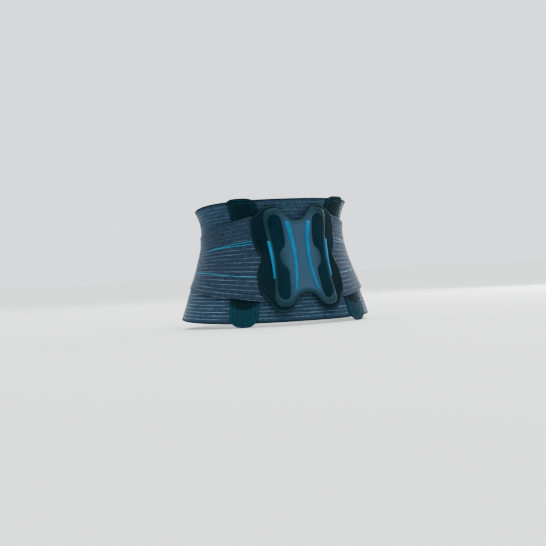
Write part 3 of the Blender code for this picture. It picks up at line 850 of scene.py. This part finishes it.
def add_pocket(name, side):
    share = 2 * eased(44)[None, :] - 1
    across = pocket_half_at(pocket_rows)[:, None] * share
    up = pocket_rows[:, None] + 0 * across
    height = np.maximum(pocket_height(across, up), 0)
    under = np.clip(height - POCKET_CLOTH, 0, None)
    rim = np.zeros(height.shape, bool)
    rim[[0, -1]] = rim[:, [0, -1]] = True
    height[rim] = under[rim] = 0
    centre = side * SEAM_ANGLE
    outer = bent(across, up, POCKET_LOW + height, centre)
    inner = bent(across, up, POCKET_LOW + under, centre)
    flap = smooth(below_fold(across, up), 0, 1 * MM)
    cloth = np.stack([across, up], -1)
    pocket = add_skin(name + "_pocket_cloth", "woven pocket cloth", outer, inner, cloth, flap=flap)
    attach(pocket, "back")
    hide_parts(name + "_stay_pocket")


for name, (side, _, _) in BELT_ENDS.items():
    add_pocket(name, side)

# %% [markdown]
# ## Stitches
# Sewn thread shows as a row of short raised dashes. Each one is a small capsule with few faces, and a
# whole row is worked out together: places along a line, the line's direction there, and one capsule shape.

# %% Sew rows of thread
def add_stitches(name, finish, rows, offset_of, centre, body, pitch=3.4 * MM, thick=0.32 * MM):
    """Capsules along lines of (across, up) points: rings whose radius follows a squared-up half circle."""
    places, ways = [], []
    for row in rows:
        travelled = np.concatenate([[0], np.cumsum(np.linalg.norm(np.diff(row, axis=0), axis=1))])
        at = np.arange(pitch / 2, travelled[-1], pitch)
        here, ahead = ([np.interp(at + move, travelled, row[:, k]) for k in (0, 1)] for move in (0, 0.2 * MM))
        places.append(np.stack(here, -1))
        ways.append(np.stack(ahead, -1) - np.stack(here, -1))
    places, ways = np.concatenate(places), np.concatenate(ways)
    ways /= np.linalg.norm(ways, axis=1, keepdims=True) + 1e-12
    ring = np.linspace(-np.pi / 2, np.pi / 2, 6)[None, :, None]
    turn = np.linspace(0, 2 * np.pi, 7)[None, None, :]
    along = 0.36 * pitch * np.sin(ring) + 0 * turn
    aside = thick * np.cos(ring) ** 0.6 * np.cos(turn)
    out = 0.8 * thick * np.cos(ring) ** 0.6 * np.sin(turn)
    across = places[:, 0, None, None] + ways[:, 0, None, None] * along - ways[:, 1, None, None] * aside
    up = places[:, 1, None, None] + ways[:, 1, None, None] * along + ways[:, 0, None, None] * aside
    offset = offset_of(places[:, 0], places[:, 1])[:, None, None] + out
    points = bent(across, up, offset, centre)
    index = np.arange(across.size).reshape(across.shape)
    index[..., -1] = index[..., 0]
    index[:, 0] = index[:, 0, :1]
    index[:, -1] = index[:, -1, :1]
    piece = add_mesh(name, finish, points, quads(index), np.stack([across, up], -1))
    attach(piece, body)
    return piece


def drawn_in(outline, distance):
    """The outline moved inwards along its own normal."""
    ahead = np.roll(outline, -1, axis=0) - np.roll(outline, 1, axis=0)
    ahead /= np.linalg.norm(ahead, axis=1, keepdims=True)
    inward = np.stack([-ahead[:, 1], ahead[:, 0]], -1)
    return outline + inward * distance


def on_pocket(across, up):
    return POCKET_LOW + pocket_height(across, up) + 0.05 * MM


for name, (side, _, _) in BELT_ENDS.items():
    lines = [drawn_in(POCKET_OUTLINE, distance) for distance in POCKET_ROWS]
    stitches = add_stitches(name + "_pocket_stitches", "sewing thread", lines, on_pocket,
                            side * SEAM_ANGLE, "back")

# %% [markdown]
# ## Bright threads
# Two bright threads lie on each strap. The upper one splits near the pad. Each is a flattened profile carried
# along the strap, so it catches the light a little above the cloth and bends with it.

# %% Lay the bright threads
THREAD = ring_profile(0.55 * MM, 0.3 * MM, count=8, power=1.0)
THREAD_ENDS, THREAD_FAN = (31.0, 117.0), (36, 84)
THREAD_LINES = {"low": (0.27, 0.31), "mid": (0.665, 0.66), "high": (0.70, 0.66)}
for name, (side, _, _) in BELT_ENDS.items():
    for place, shares in THREAD_LINES.items():
        angle = np.linspace(*THREAD_ENDS, 120)
        share = shares[0] + (shares[1] - shares[0]) * smooth(angle, *THREAD_FAN)
        height = strap_bottom(angle) + (strap_top(angle) - strap_bottom(angle)) * share
        offset = STRAP_LAYER[1] + over_pocket(side * angle, height) - 0.05 * MM
        thread = add_sweep(f"{name}_{place}_thread", "bright marker thread", side * angle, height, offset,
                           THREAD)
        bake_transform(thread)

# %% [markdown]
# ## Closure and grips
# The left end of the belt closes over the right one, hook tape onto brushed velour, and each strap's tab has
# hook tape underneath. Each free end has a moulded finger grip with cross ribs. These are small cloths and
# mouldings on the same grid as the belt, with their own relief.

# %% Hook tape, velour and finger grips
def inset_edges(low, high, distance):
    return (lambda angle: low(angle) + distance, lambda angle: high(angle) - distance)


def add_patch(name, node, finish, body, side, angles, edges, layer, lift, corner, relief_of=None):
    """A flat patch between two angles, drawn in at both corners of its front end."""
    grid = cloth_grid(angles, edges, (1.5 * MM, 1.2 * MM), corner, radius=0.7 * MM)
    relief = relief_of(grid) if relief_of else 0.0
    patch = add_cloth(name, finish, grid, side, layer, lift, relief, radius=0.7 * MM)
    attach(patch, body)
    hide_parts(node)
    return patch, grid


def grip_ribs(grid):
    """Round cross ribs every 5 mm, which fade towards the grip's rim."""
    return 0.45 * MM * np.cos(2 * np.pi * grid[1] / (5 * MM)) * smooth(grid[2], 0.8 * MM, 2.2 * MM)


CLOSURE_EDGES = inset_edges(bottom_edge, top_edge, 12 * MM)
LANDING_LOW = KNIT + GAP
HOOK_LOW = LANDING_LOW + LANDING + GAP
GRIP_LOW = HOOK_LOW + HOOK + KNIT + 2 * GAP
velour, grid = add_patch(
    "closure_velour", "right_closure_landing", "brushed velour", "right_wing",
    1, (158.0, 187.0), CLOSURE_EDGES, (LANDING_LOW, LANDING_LOW + LANDING), body_wave, 8 * MM)
hooks, grid = add_patch(
    "closure_hooks", "left_closure_hook", "moulded hook tape", "left_wing",
    -1, (174.0, 202.0), CLOSURE_EDGES, (HOOK_LOW, HOOK_LOW + HOOK), body_wave, 8 * MM)
grip_middle = (top_edge(205.0) + bottom_edge(205.0)) / 2
GRIP_HALF = 32 * MM
grip_edges = (
    lambda angle: grip_middle - GRIP_HALF + 0 * angle,
    lambda angle: grip_middle + GRIP_HALF + 0 * angle,
)
add_patch(
    "closure_grip", "left_closure_grip", "moulded grip rubber", "left_wing",
    -1, (197.5, 203.5), grip_edges, (GRIP_LOW, GRIP_LOW + GRIP), body_wave, 5 * MM, grip_ribs)
TAB_EDGES = inset_edges(strap_bottom, strap_top, 5 * MM)
TAB_GRIP_LOW = POCKET_LOW + HOOK + TAB + 2 * GAP
for name, (side, _, _) in BELT_ENDS.items():
    hooks, grid = add_patch(
        name + "_tab_hooks", name + "_tab_hook", "moulded hook tape", name + "_tab",
        side, (131.0, 147.0), TAB_EDGES, (POCKET_LOW, POCKET_LOW + HOOK), body_wave, 8 * MM)
    add_patch(
        name + "_tab_finger_grip", name + "_tab_grip", "moulded grip rubber", name + "_tab",
        side, (143.5, 148.5), TAB_EDGES, (TAB_GRIP_LOW, TAB_GRIP_LOW + GRIP), body_wave, 5 * MM, grip_ribs)

# %% [markdown]
# ## Materials
# Each finish starts from the real material. Colours are written as sRGB hex values and turned to linear by
# one function, and one function adds a node. Patterns on cloth read the piece's own cloth coordinates, in
# metres, so a thread spacing in millimetres becomes a scale. Mouldings read Object coordinates.

# %% Colours and nodes
def linear(colour):
    """A hex sRGB colour as linear RGBA: dark channels divided by 12.92, the rest through a 2.4 power."""
    channels = np.array([int(colour[i:i + 2], 16) for i in (0, 2, 4)]) / 255
    light = ((channels + 0.055) / 1.055) ** 2.4
    return (*(float(v) for v in np.where(channels <= 0.04045, channels / 12.92, light)), 1.0)


def add_node(tree, kind, settings=(), links=()):
    """Adds a node, gives its properties and sockets their settings, and links outputs into its sockets."""
    node = tree.nodes.new("ShaderNode" + kind)
    for key, value in dict(settings).items():
        if isinstance(key, int) or key in node.inputs:
            node.inputs[key].default_value = value
        else:
            setattr(node, key, value)
    for key, output in dict(links).items():
        tree.links.new(output, node.inputs[key])
    return node


TEAL_GLOSS = (0.30, 0.75, 1.0, 1.0)  # the tint of a highlight on dark cloth and mouldings


def open_finish(name, **sockets):
    """The finish's material, its node tree and its shader, with constant sockets set by name."""
    finish = bpy.data.materials.get(name) or bpy.data.materials.new(name)
    finish.use_nodes = True
    shader = finish.node_tree.nodes["Principled BSDF"]
    for socket, value in sockets.items():
        shader.inputs[socket.replace("_", " ")].default_value = value
    return finish.node_tree, shader


print("black is", linear("000000"), "and mid grey is", round(linear("808080")[0], 3))

# %% [markdown]
# ### Knits
# A polyamide knit is made of loops: columns of loops are wales and rows are courses. The eye sees short
# dashes of darker and lighter yarn, which is called heather, and a pale weft thread at every line, which
# dives under some loops and so looks broken. Real loops are 0.5 mm wide, too fine to show from two metres,
# so they are drawn 1.3 mm wide.

# %% Knit finishes
WAVE_PERIOD = 0.314  # a Wave texture of scale 1 repeats at this distance
LOOP_WIDTH = 1.3 * MM


def make_knit(name, deep, pale, weft, weft_width, weft_shares, top_painted_shade, lines, **sockets):
    tree, shader = open_finish(name, Roughness=0.85, Specular_IOR_Level=0.12, **sockets)
    cloth = add_node(tree, "UVMap", {"uv_map": "cloth"}).outputs["UV"]
    course = add_node(tree, "Attribute", {"attribute_name": "course"}).outputs["Fac"]
    dashes = add_node(tree, "Mapping", {"Scale": (150, 1000, 1)}, {"Vector": cloth})
    heather = add_node(tree, "TexNoise", {"Scale": 1.0, "Detail": 3.0, "Roughness": 0.6},
                       {"Vector": dashes.outputs[0]})
    columns = add_node(tree, "Mapping", {"Scale": (700, 90, 1), "Location": (5, 2, 0)}, {"Vector": cloth})
    wales = add_node(tree, "TexNoise", {"Scale": 1.0, "Detail": 2.0}, {"Vector": columns.outputs[0]})
    mixed = add_node(tree, "Math", {"operation": "MULTIPLY_ADD", 1: 0.45},
                     {0: wales.outputs["Fac"], 2: heather.outputs["Fac"]})
    share = add_node(tree, "MapRange", {"From Min": 0.54, "From Max": 0.92}, {"Value": mixed.outputs[0]})
    body = add_node(tree, "Mix", {"data_type": "RGBA", 6: linear(deep), 7: linear(pale)},
                    {0: share.outputs[0]})
    between = add_node(tree, "Math", {"operation": "PINGPONG", 1: 0.5}, {0: course})
    line = add_node(tree, "MapRange",
                    {"From Min": weft_width, "From Max": weft_width * 2.0, "To Min": 1.0, "To Max": 0.0},
                    {"Value": between.outputs[0]})
    runs = add_node(tree, "Mapping", {"Scale": (24, 190, 1), "Location": (3, 7, 0)}, {"Vector": cloth})
    broken = add_node(tree, "TexNoise", {"Scale": 1.0, "Detail": 4.0, "Roughness": 0.6},
                      {"Vector": runs.outputs[0]})
    shown = add_node(tree, "MapRange",
                     {"From Min": 0.36, "From Max": 0.66, "To Min": weft_shares[0], "To Max": weft_shares[1]},
                     {"Value": broken.outputs["Fac"]})
    # Painted shade: over the top quarter of the cloth the pale weft threads fade, so the top band, which
    # faces a little downward, reads darker.
    upper = add_node(tree, "MapRange",
                     {"From Min": 0.55 * lines, "From Max": 0.8 * lines, "To Min": 1.0, "To Max": top_painted_shade},
                     {"Value": course})
    drawn = add_node(tree, "Math", {"operation": "MULTIPLY"}, {0: shown.outputs[0], 1: upper.outputs[0]})
    thread = add_node(tree, "Math", {"operation": "MULTIPLY"}, {0: line.outputs[0], 1: drawn.outputs[0]})
    coloured = add_node(tree, "Mix", {"data_type": "RGBA", 7: linear(weft)},
                        {0: thread.outputs[0], 6: body.outputs[2]})
    tree.links.new(coloured.outputs[2], shader.inputs["Base Color"])
    stitch = {"Scale": WAVE_PERIOD / LOOP_WIDTH, "Distortion": 0.6}
    upright = add_node(tree, "TexWave", stitch, {"Vector": cloth})
    level = add_node(tree, "TexWave", {**stitch, "bands_direction": "Y"}, {"Vector": cloth})
    knit = add_node(tree, "Math", {"operation": "MULTIPLY"},
                    {0: upright.outputs["Fac"], 1: level.outputs["Fac"]})
    relief = add_node(tree, "Math", {"operation": "MULTIPLY_ADD", 1: 0.8},
                      {0: mixed.outputs[0], 2: knit.outputs[0]})
    raised = add_node(tree, "Math", {"operation": "ADD"}, {0: relief.outputs[0], 1: thread.outputs[0]})
    bump = add_node(tree, "Bump", {"Strength": 0.7, "Distance": 0.35 * MM}, {"Height": raised.outputs[0]})
    tree.links.new(bump.outputs["Normal"], shader.inputs["Normal"])


KNIT_SHEEN = {"Sheen_Weight": 0.30, "Sheen_Roughness": 0.3, "Sheen_Tint": (0.75, 0.88, 1.0, 1.0)}
# The 0.35 and 0.3 below are how much pale weft is left at the top edge: painted shade on the top band.
make_knit("ribbed polyamide knit", "0c1a25", "264259", "86a1b5", 0.038, (0.03, 0.80), 0.35, BELT_LINES,
          **KNIT_SHEEN)
# The strap knit shows fewer pale weft threads than the belt knit and has a darker pale yarn: painted shade,
# standing for the shadow that falls across the strap.
make_knit("heathered strap knit", "0b1720", "243a4f", "86a1b5", 0.032, (0.02, 0.55), 0.3, STRAP_LINES,
          **KNIT_SHEEN)

# %% [markdown]
# ### Woven cloth, tape and thread
# The pocket is a close twill of filament yarn: dark, a little glossy, with a fine diagonal. Binding tape is
# folded woven elastic with short ribs across it. Both are near black blue and darker than the knit.

# %% Woven finishes
def make_woven(name, deep, pale, pitch, diagonal, roughness, flap=None):
    tree, shader = open_finish(name, Roughness=roughness, Specular_IOR_Level=0.1, Specular_Tint=TEAL_GLOSS)
    cloth = add_node(tree, "UVMap", {"uv_map": "cloth"}).outputs["UV"]
    turned = add_node(tree, "Mapping", {"Rotation": (0, 0, math.radians(diagonal))}, {"Vector": cloth})
    twill = add_node(tree, "TexWave", {"Scale": WAVE_PERIOD / pitch, "Distortion": 0.4},
                     {"Vector": turned.outputs[0]})
    spots = add_node(tree, "TexNoise", {"Scale": 240.0, "Detail": 4.0}, {"Vector": cloth})
    mixed = add_node(tree, "Math", {"operation": "MULTIPLY_ADD", 1: 0.35},
                     {0: twill.outputs["Fac"], 2: spots.outputs["Fac"]})
    share = add_node(tree, "MapRange", {"From Min": 0.35, "From Max": 0.95}, {"Value": mixed.outputs[0]})
    body = add_node(tree, "Mix", {"data_type": "RGBA", 6: linear(deep), 7: linear(pale)},
                    {0: share.outputs[0]})
    last = body.outputs[2]
    if flap:
        turned_up = add_node(tree, "Attribute", {"attribute_name": "flap"}).outputs["Fac"]
        last = add_node(tree, "Mix", {"data_type": "RGBA", "blend_type": "ADD", 7: linear(flap)},
                        {0: turned_up, 6: last}).outputs[2]
    tree.links.new(last, shader.inputs["Base Color"])
    bump = add_node(tree, "Bump", {"Strength": 0.7, "Distance": 0.2 * MM}, {"Height": mixed.outputs[0]})
    tree.links.new(bump.outputs["Normal"], shader.inputs["Normal"])


make_woven("woven pocket cloth", "020c11", "08191f", 1.1 * MM, 45, 0.80, flap="0b222b")
make_woven("folded binding tape", "08121a", "142331", 1.6 * MM, 0, 0.75)
make_woven("sewing thread", "17404f", "2c6072", 0.6 * MM, 30, 0.55)
make_woven("bright marker thread", "145670", "2f86a6", 1.2 * MM, 35, 0.45)

# %% [markdown]
# ### Mouldings
# The pad is soft foam with a moulded skin, the carrier a firmer moulding with a low gloss, and the ribs cast
# silicone, which is smooth and a little waxy. A moulding copies its mould's spark-eroded grain, about 0.4 mm
# across, drawn here 0.8 mm. The grain gives a broken highlight where a plain gloss would look like wet paint.

# %% Moulded finishes
def make_moulded(name, deep, pale, grain, depth, roughness, web=None, **sockets):
    tree, shader = open_finish(name, **sockets)
    place = add_node(tree, "TexCoord").outputs["Object"]
    pores = add_node(tree, "TexNoise", {"Scale": 1 / grain, "Detail": 3.0}, {"Vector": place})
    clouds = add_node(tree, "TexNoise", {"Scale": 30.0, "Detail": 3.0}, {"Vector": place})
    share = add_node(tree, "MapRange", {"From Min": 0.32, "From Max": 0.68}, {"Value": clouds.outputs["Fac"]})
    body = add_node(tree, "Mix", {"data_type": "RGBA", 6: linear(deep), 7: linear(pale)},
                    {0: share.outputs[0]})
    last = body.outputs[2]
    # Painted light: the web mark lightens the colour where the pad's smooth web catches the light.
    if web:
        middle = add_node(tree, "Attribute", {"attribute_name": "web"}).outputs["Fac"]
        last = add_node(tree, "Mix", {"data_type": "RGBA", 7: linear(web)}, {0: middle, 6: last}).outputs[2]
    tree.links.new(last, shader.inputs["Base Color"])
    gloss = add_node(tree, "MapRange", {"To Min": roughness - 0.06, "To Max": roughness + 0.08},
                     {"Value": clouds.outputs["Fac"]})
    tree.links.new(gloss.outputs[0], shader.inputs["Roughness"])
    bump = add_node(tree, "Bump", {"Strength": 0.5, "Distance": depth}, {"Height": pores.outputs["Fac"]})
    tree.links.new(bump.outputs["Normal"], shader.inputs["Normal"])


# The web colour is painted light on the pad's smooth middle.
make_moulded("moulded pad foam", "0f2128", "162b34", 0.8 * MM, 0.08 * MM, 0.55, web="283f52",
             Specular_IOR_Level=0.20, Specular_Tint=TEAL_GLOSS)
make_moulded("moulded carrier", "020d12", "05161d", 0.8 * MM, 0.06 * MM, 0.42,
             Specular_IOR_Level=0.18, Specular_Tint=TEAL_GLOSS)
make_moulded("soft trough rubber", "03151c", "061c25", 0.8 * MM, 0.06 * MM, 0.50,
             Specular_IOR_Level=0.12, Specular_Tint=TEAL_GLOSS)
make_moulded("cast silicone", "07567c", "09648c", 1.2 * MM, 0.04 * MM, 0.38,
             Specular_IOR_Level=0.25, Specular_Tint=TEAL_GLOSS)
make_moulded("moulded grip rubber", "061a22", "0a242e", 0.8 * MM, 0.08 * MM, 0.55,
             Specular_IOR_Level=0.20, Specular_Tint=TEAL_GLOSS)
make_moulded("backing foam", "0c0d10", "16181c", 1.4 * MM, 0.25 * MM, 0.90, Specular_IOR_Level=0.15)
make_moulded("tip plastic", "0a0a0b", "141517", 0.8 * MM, 0.05 * MM, 0.45)

# %% [markdown]
# ### Hook, velour and steel
# Hook tape is rows of tiny moulded hooks, velour is brushed loops that stand up and catch light at a grazing
# angle, and the stays are rolled spring steel whose lines run along the blade.

# %% Hook tape, velour and steel finishes
def make_hooks(name, colour):
    tree, shader = open_finish(name, Roughness=0.6)
    cloth = add_node(tree, "UVMap", {"uv_map": "cloth"}).outputs["UV"]
    dots = add_node(tree, "TexVoronoi", {"Scale": 1 / (1.5 * MM), "Randomness": 0.15}, {"Vector": cloth})
    share = add_node(tree, "MapRange", {"From Min": 0.1, "From Max": 0.6, "To Min": 1.0, "To Max": 0.0},
                     {"Value": dots.outputs["Distance"]})
    body = add_node(tree, "Mix", {"data_type": "RGBA", 6: linear(colour), 7: linear("2c333a")},
                    {0: share.outputs[0]})
    tree.links.new(body.outputs[2], shader.inputs["Base Color"])
    bump = add_node(tree, "Bump", {"Strength": 1.0, "Distance": 0.6 * MM}, {"Height": share.outputs[0]})
    tree.links.new(bump.outputs["Normal"], shader.inputs["Normal"])


def make_velour(name, deep, pale):
    tree, shader = open_finish(name, Roughness=0.95, Sheen_Weight=0.3, Sheen_Roughness=0.4,
                               Specular_IOR_Level=0.1)
    cloth = add_node(tree, "UVMap", {"uv_map": "cloth"}).outputs["UV"]
    nap = add_node(tree, "TexNoise", {"Scale": 900.0, "Detail": 4.0}, {"Vector": cloth})
    brushed = add_node(tree, "TexNoise", {"Scale": 90.0, "Detail": 2.0}, {"Vector": cloth})
    mixed = add_node(tree, "Math", {"operation": "MULTIPLY"},
                     {0: nap.outputs["Fac"], 1: brushed.outputs["Fac"]})
    share = add_node(tree, "MapRange", {"From Min": 0.08, "From Max": 0.48}, {"Value": mixed.outputs[0]})
    body = add_node(tree, "Mix", {"data_type": "RGBA", 6: linear(deep), 7: linear(pale)},
                    {0: share.outputs[0]})
    tree.links.new(body.outputs[2], shader.inputs["Base Color"])
    bump = add_node(tree, "Bump", {"Strength": 1.0, "Distance": 0.3 * MM}, {"Height": nap.outputs["Fac"]})
    tree.links.new(bump.outputs["Normal"], shader.inputs["Normal"])


def make_steel(name):
    tree, shader = open_finish(name, Metallic=1.0)
    place = add_node(tree, "TexCoord").outputs["Object"]
    drawn = add_node(tree, "Mapping", {"Scale": (1400, 1400, 40)}, {"Vector": place})
    lines = add_node(tree, "TexNoise", {"Scale": 1.0, "Detail": 3.0}, {"Vector": drawn.outputs[0]})
    body = add_node(tree, "Mix", {"data_type": "RGBA", 6: linear("8e9296"), 7: linear("b9bdc0")},
                    {0: lines.outputs["Fac"]})
    tree.links.new(body.outputs[2], shader.inputs["Base Color"])
    gloss = add_node(tree, "MapRange", {"To Min": 0.28, "To Max": 0.42}, {"Value": lines.outputs["Fac"]})
    tree.links.new(gloss.outputs[0], shader.inputs["Roughness"])
    bump = add_node(tree, "Bump", {"Strength": 0.4, "Distance": 0.02 * MM}, {"Height": lines.outputs["Fac"]})
    tree.links.new(bump.outputs["Normal"], shader.inputs["Normal"])


make_hooks("moulded hook tape", "0d1014")
make_velour("brushed velour", "10161e", "26313d")
make_steel("rolled spring steel")

# %% Give the plain solids their finish
PLAIN = {"_stay": "rolled spring steel", "_stay_tip": "tip plastic", "pad_backing": "backing foam"}
for node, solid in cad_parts.items():
    for ending, finish in PLAIN.items():
        if node.endswith(ending):
            for place in solid.material_slots or [None]:
                if place is None:
                    solid.data.materials.append(bpy.data.materials[finish])
                else:
                    place.material = bpy.data.materials[finish]
print("finishes:", len(bpy.data.materials))

# %% [markdown]
# ## The floor
# The belt stands on a plain pale floor that reaches far past the frame.

# %% Lay the floor
FLOOR_HALF = 14.0
floor_points = [(x, y, CAD_BOX[0][2] - 0.5 * MM) for x, y in ((-1, -1), (1, -1), (1, 1), (-1, 1))]
floor_mesh = bpy.data.meshes.new("floor")
floor_mesh.from_pydata([(x * FLOOR_HALF, y * FLOOR_HALF, z) for x, y, z in floor_points], [], [(0, 1, 2, 3)])
floor = bpy.data.objects.new("floor", floor_mesh)
bpy.context.collection.objects.link(floor)
shader = open_finish("matt pale floor", Roughness=0.9)[1]
shader.inputs["Base Color"].default_value = linear("f2f3f4")
floor_mesh.materials.append(bpy.data.materials["matt pale floor"])
